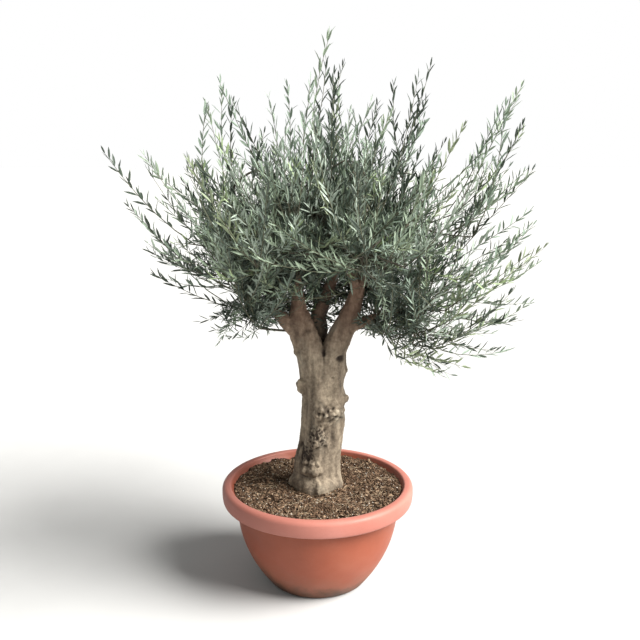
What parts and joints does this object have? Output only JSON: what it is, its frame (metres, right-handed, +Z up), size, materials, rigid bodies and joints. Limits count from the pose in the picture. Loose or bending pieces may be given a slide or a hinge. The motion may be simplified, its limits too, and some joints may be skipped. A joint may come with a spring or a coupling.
{
  "type": "potted olive tree",
  "caption": "Olive tree with a short thick burled trunk, forked boughs and a broad open crown, growing in soil in a round bowl-shaped plastic planter.",
  "frame": {"origin": "centre of the planter's flat underside, at the level it stands on", "axes": "+Z up along the trunk, +X to the side where the crown droops lowest, -Y to the front, where the two burls face"},
  "size_m": [1.539, 1.3632, 1.989],
  "materials": {
    "pot_plastic": "satin",
    "soil": "matte",
    "bark": "matte",
    "foliage": "matte"
  },
  "bodies": {
    "root": {"pot": "pot_plastic", "soil": "soil", "trunk": "bark", "bough_left": "bark", "bough_right": "bark", "bough_middle": "bark", "bough_left_side": "bark", "bough_right_side": "bark", "bough_back": "bark", "bough_back_right": "bark", "bough_front": "bark", "foliage_low_right": "foliage", "foliage_low_back_right": "foliage", "foliage_low_back_left": "foliage", "foliage_low_left": "foliage", "foliage_low_front_left": "foliage", "foliage_low_front_right": "foliage", "foliage_mid_right": "foliage", "foliage_mid_back_right": "foliage", "foliage_mid_back_left": "foliage", "foliage_mid_left": "foliage", "foliage_mid_front_left": "foliage", "foliage_mid_front_right": "foliage", "foliage_high_right": "foliage", "foliage_high_back_right": "foliage", "foliage_high_back_left": "foliage", "foliage_high_left": "foliage", "foliage_high_front_left": "foliage", "foliage_high_front_right": "foliage", "foliage_crest": "foliage", "foliage_heart": "foliage", "foliage_spray_left": "foliage"}
  },
  "joints": []
}
